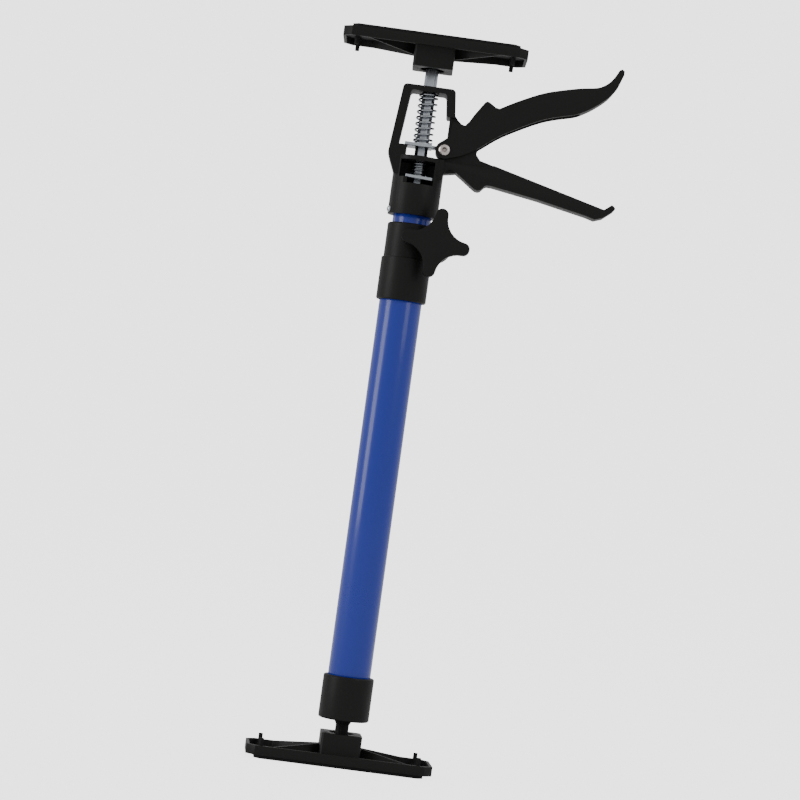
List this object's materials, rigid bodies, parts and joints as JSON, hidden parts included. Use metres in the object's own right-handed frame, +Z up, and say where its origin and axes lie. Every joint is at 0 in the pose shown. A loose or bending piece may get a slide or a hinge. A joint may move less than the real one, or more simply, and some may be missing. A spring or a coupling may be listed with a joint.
{
  "type": "telescopic drywall support pole",
  "caption": "Telescopic drywall support pole with blue steel tubes, a black squeeze-lever head on a hexagonal push rod, a star clamp knob and tilting rubber-faced pads.",
  "frame": {"origin": "pole axis at the rubber face of the foot pad", "axes": "+Z up the pole, +X towards the squeeze handles, -Y towards the clamp knob"},
  "size_m": [0.2059, 0.0542, 0.5142],
  "materials": {
    "blue_paint": "gloss",
    "black_nylon": "satin",
    "black_rubber": "matte",
    "zinc_steel": "satin",
    "spring_steel": "satin",
    "dark_steel": "satin",
    "rivet_steel": "satin",
    "brass_nut": "satin",
    "white_plastic": "satin"
  },
  "bodies": {
    "outer": {"outer_tube": "blue_paint", "end_cap": "black_nylon", "clamp_collar": "black_nylon", "clamp_bolt": "zinc_steel", "bolt_washer": "zinc_steel"},
    "foot_stud": {"ball_stud": "black_nylon", "stud_washer": "zinc_steel", "stud_clip": "dark_steel"},
    "foot": {"foot_plate": "black_nylon", "foot_rubber": "black_rubber"},
    "knob": {"star_knob": "black_nylon", "knob_nut": "brass_nut"},
    "glide": {"tube_glide": "white_plastic"},
    "head": {"inner_tube": "blue_paint", "head_frame": "black_nylon", "tube_rivets": "zinc_steel", "pivot_rivet": "rivet_steel", "return_spring": "spring_steel", "brake_spring": "spring_steel"},
    "lever": {"trigger_lever": "black_nylon"},
    "drive": {"drive_plate": "zinc_steel", "spring_washer": "zinc_steel"},
    "brake": {"brake_plate": "zinc_steel"},
    "rod": {"push_rod": "zinc_steel", "rod_stop_pin": "dark_steel", "ball_screw": "zinc_steel"},
    "head_ball": {"rod_ball": "black_nylon"},
    "head_pad": {"head_plate": "black_nylon", "head_rubber": "black_rubber"}
  },
  "joints": [
    {"name": "foot_swivel", "type": "hinge", "parent": "outer", "child": "foot_stud", "pos_m": [0, 0, 0.014], "axis": [0, 0, 1], "continuous": true},
    {"name": "foot_tilt", "type": "hinge", "parent": "foot_stud", "child": "foot", "pos_m": [0, 0, 0.014], "axis": [-0.0698, 0.9976, 0], "range_deg": [-15, 15]},
    {"name": "knob_turn", "type": "hinge", "parent": "outer", "child": "knob", "pos_m": [0.0186, -0.02, 0.36925], "axis": [0, -1, 0], "continuous": true},
    {"name": "tube_extend", "type": "slide", "parent": "outer", "child": "glide", "axis": [0, 0, 1], "range_m": [-0.0055, 0.29]},
    {"name": "tube_turn", "type": "hinge", "parent": "glide", "child": "head", "pos_m": [0, 0, 0.4016], "axis": [0, 0, 1], "continuous": true},
    {"name": "lever_squeeze", "type": "hinge", "parent": "head", "child": "lever", "pos_m": [0.0159, 0, 0.436], "axis": [0, 1, 0], "range_deg": [0, 28], "stiffness_Nm_per_rad": 0.15, "springref_deg": -34.38},
    {"name": "drive_lift", "type": "slide", "parent": "head", "child": "drive", "axis": [0, 0, 1], "range_m": [0, 0.003], "deforming": ["return_spring"]},
    {"name": "brake_release", "type": "hinge", "parent": "head", "child": "brake", "pos_m": [-0.0087, 0, 0.4136], "axis": [0, -1, 0], "range_deg": [0, 4.5], "stiffness_Nm_per_rad": 0.05, "springref_deg": -17.19, "deforming": ["brake_spring"]},
    {"name": "rod_feed", "type": "slide", "parent": "head", "child": "rod", "axis": [0, 0, 1], "range_m": [-0.007, 0.34]},
    {"name": "head_swivel", "type": "hinge", "parent": "rod", "child": "head_ball", "pos_m": [0, 0, 0.5002], "axis": [0, 0, 1], "continuous": true},
    {"name": "head_tilt", "type": "hinge", "parent": "head_ball", "child": "head_pad", "pos_m": [0, 0, 0.5002], "axis": [0, 1, 0], "range_deg": [-15, 15]}
  ],
  "couplings": [
    {"joint": "drive_lift", "follows": "lever_squeeze", "m_per_rad": 0.0061}
  ]
}
